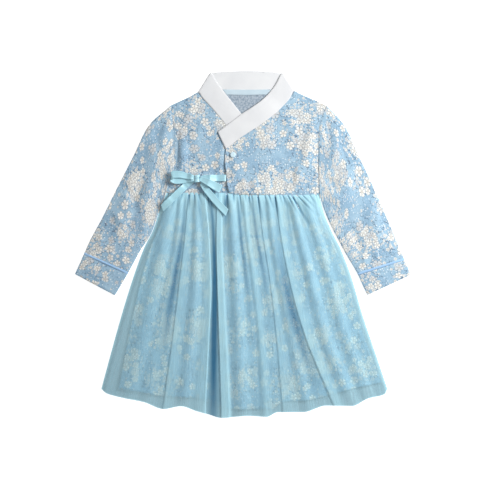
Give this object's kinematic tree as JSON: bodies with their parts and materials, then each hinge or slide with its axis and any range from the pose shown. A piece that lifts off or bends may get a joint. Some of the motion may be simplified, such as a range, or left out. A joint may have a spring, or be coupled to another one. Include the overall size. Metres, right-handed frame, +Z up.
{
  "type": "korean hanbok dress",
  "caption": "Child's hanbok dress laid flat: crossed floral bodice with white collar band, long sleeves, gathered tulle over a floral skirt, satin bow.",
  "frame": {"origin": "middle of the underside's box, on the surface that the dress lies on", "axes": "+Z up off the surface, +Y from the hem to the collar, +X towards the wearer's left; the dress lies front up"},
  "size_m": [0.5372, 0.5544, 0.0125],
  "materials": {
    "floral_cotton": "blue cotton printed with cream blossoms",
    "white_cotton": "plain white cotton",
    "blue_tulle": "sheer blue tulle",
    "blue_piping": "plain light blue",
    "blue_tape": "plain light blue tape",
    "satin_ribbon": "cyan satin",
    "snap_cap": "pale cyan"
  },
  "bodies": {
    "root": {"back_bodice": "floral_cotton", "front_bodice_right": "floral_cotton", "front_bodice_left": "floral_cotton", "sleeve_right": "floral_cotton", "sleeve_left": "floral_cotton", "cuff_right": "floral_cotton", "cuff_left": "floral_cotton", "cuff_piping_right": "blue_piping", "cuff_piping_left": "blue_piping", "collar_band": "white_cotton", "neck_tape": "blue_tape", "printed_skirt_front": "floral_cotton", "printed_skirt_back": "floral_cotton", "tulle_skirt_front": "blue_tulle", "tulle_skirt_back": "blue_tulle", "tie_left": "satin_ribbon", "bow_knot": "satin_ribbon", "bow_loop_right": "satin_ribbon", "bow_loop_left": "satin_ribbon", "tie_tail_right": "satin_ribbon", "tie_tail_left": "satin_ribbon", "snap_cap": "snap_cap"}
  },
  "joints": []
}
